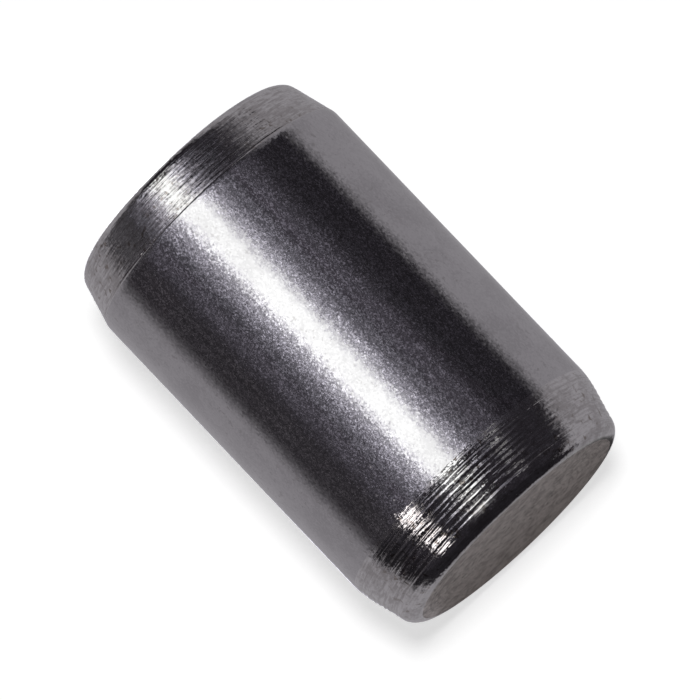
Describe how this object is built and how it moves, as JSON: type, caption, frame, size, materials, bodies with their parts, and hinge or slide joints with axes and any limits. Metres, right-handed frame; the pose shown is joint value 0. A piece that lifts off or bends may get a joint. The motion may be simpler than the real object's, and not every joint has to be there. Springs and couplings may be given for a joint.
{
  "type": "dowel pin",
  "caption": "Short solid steel dowel pin with a ground shank, a long lead taper and a rounded edge at each end, pressed into reamed holes to line up two parts.",
  "frame": {"origin": "centre of the lower end face, which the pin stands on", "axes": "+Z along the pin's axis, from the end with the shorter taper to the end with the longer one; X and Y are free, since the pin is round"},
  "size_m": [0.01, 0.01, 0.0156],
  "materials": {
    "steel": "bare hardened steel, shank ground to a fine satin grain, tapers and ends left as turned"
  },
  "bodies": {
    "root": {"dowel_pin": "steel"}
  },
  "joints": []
}
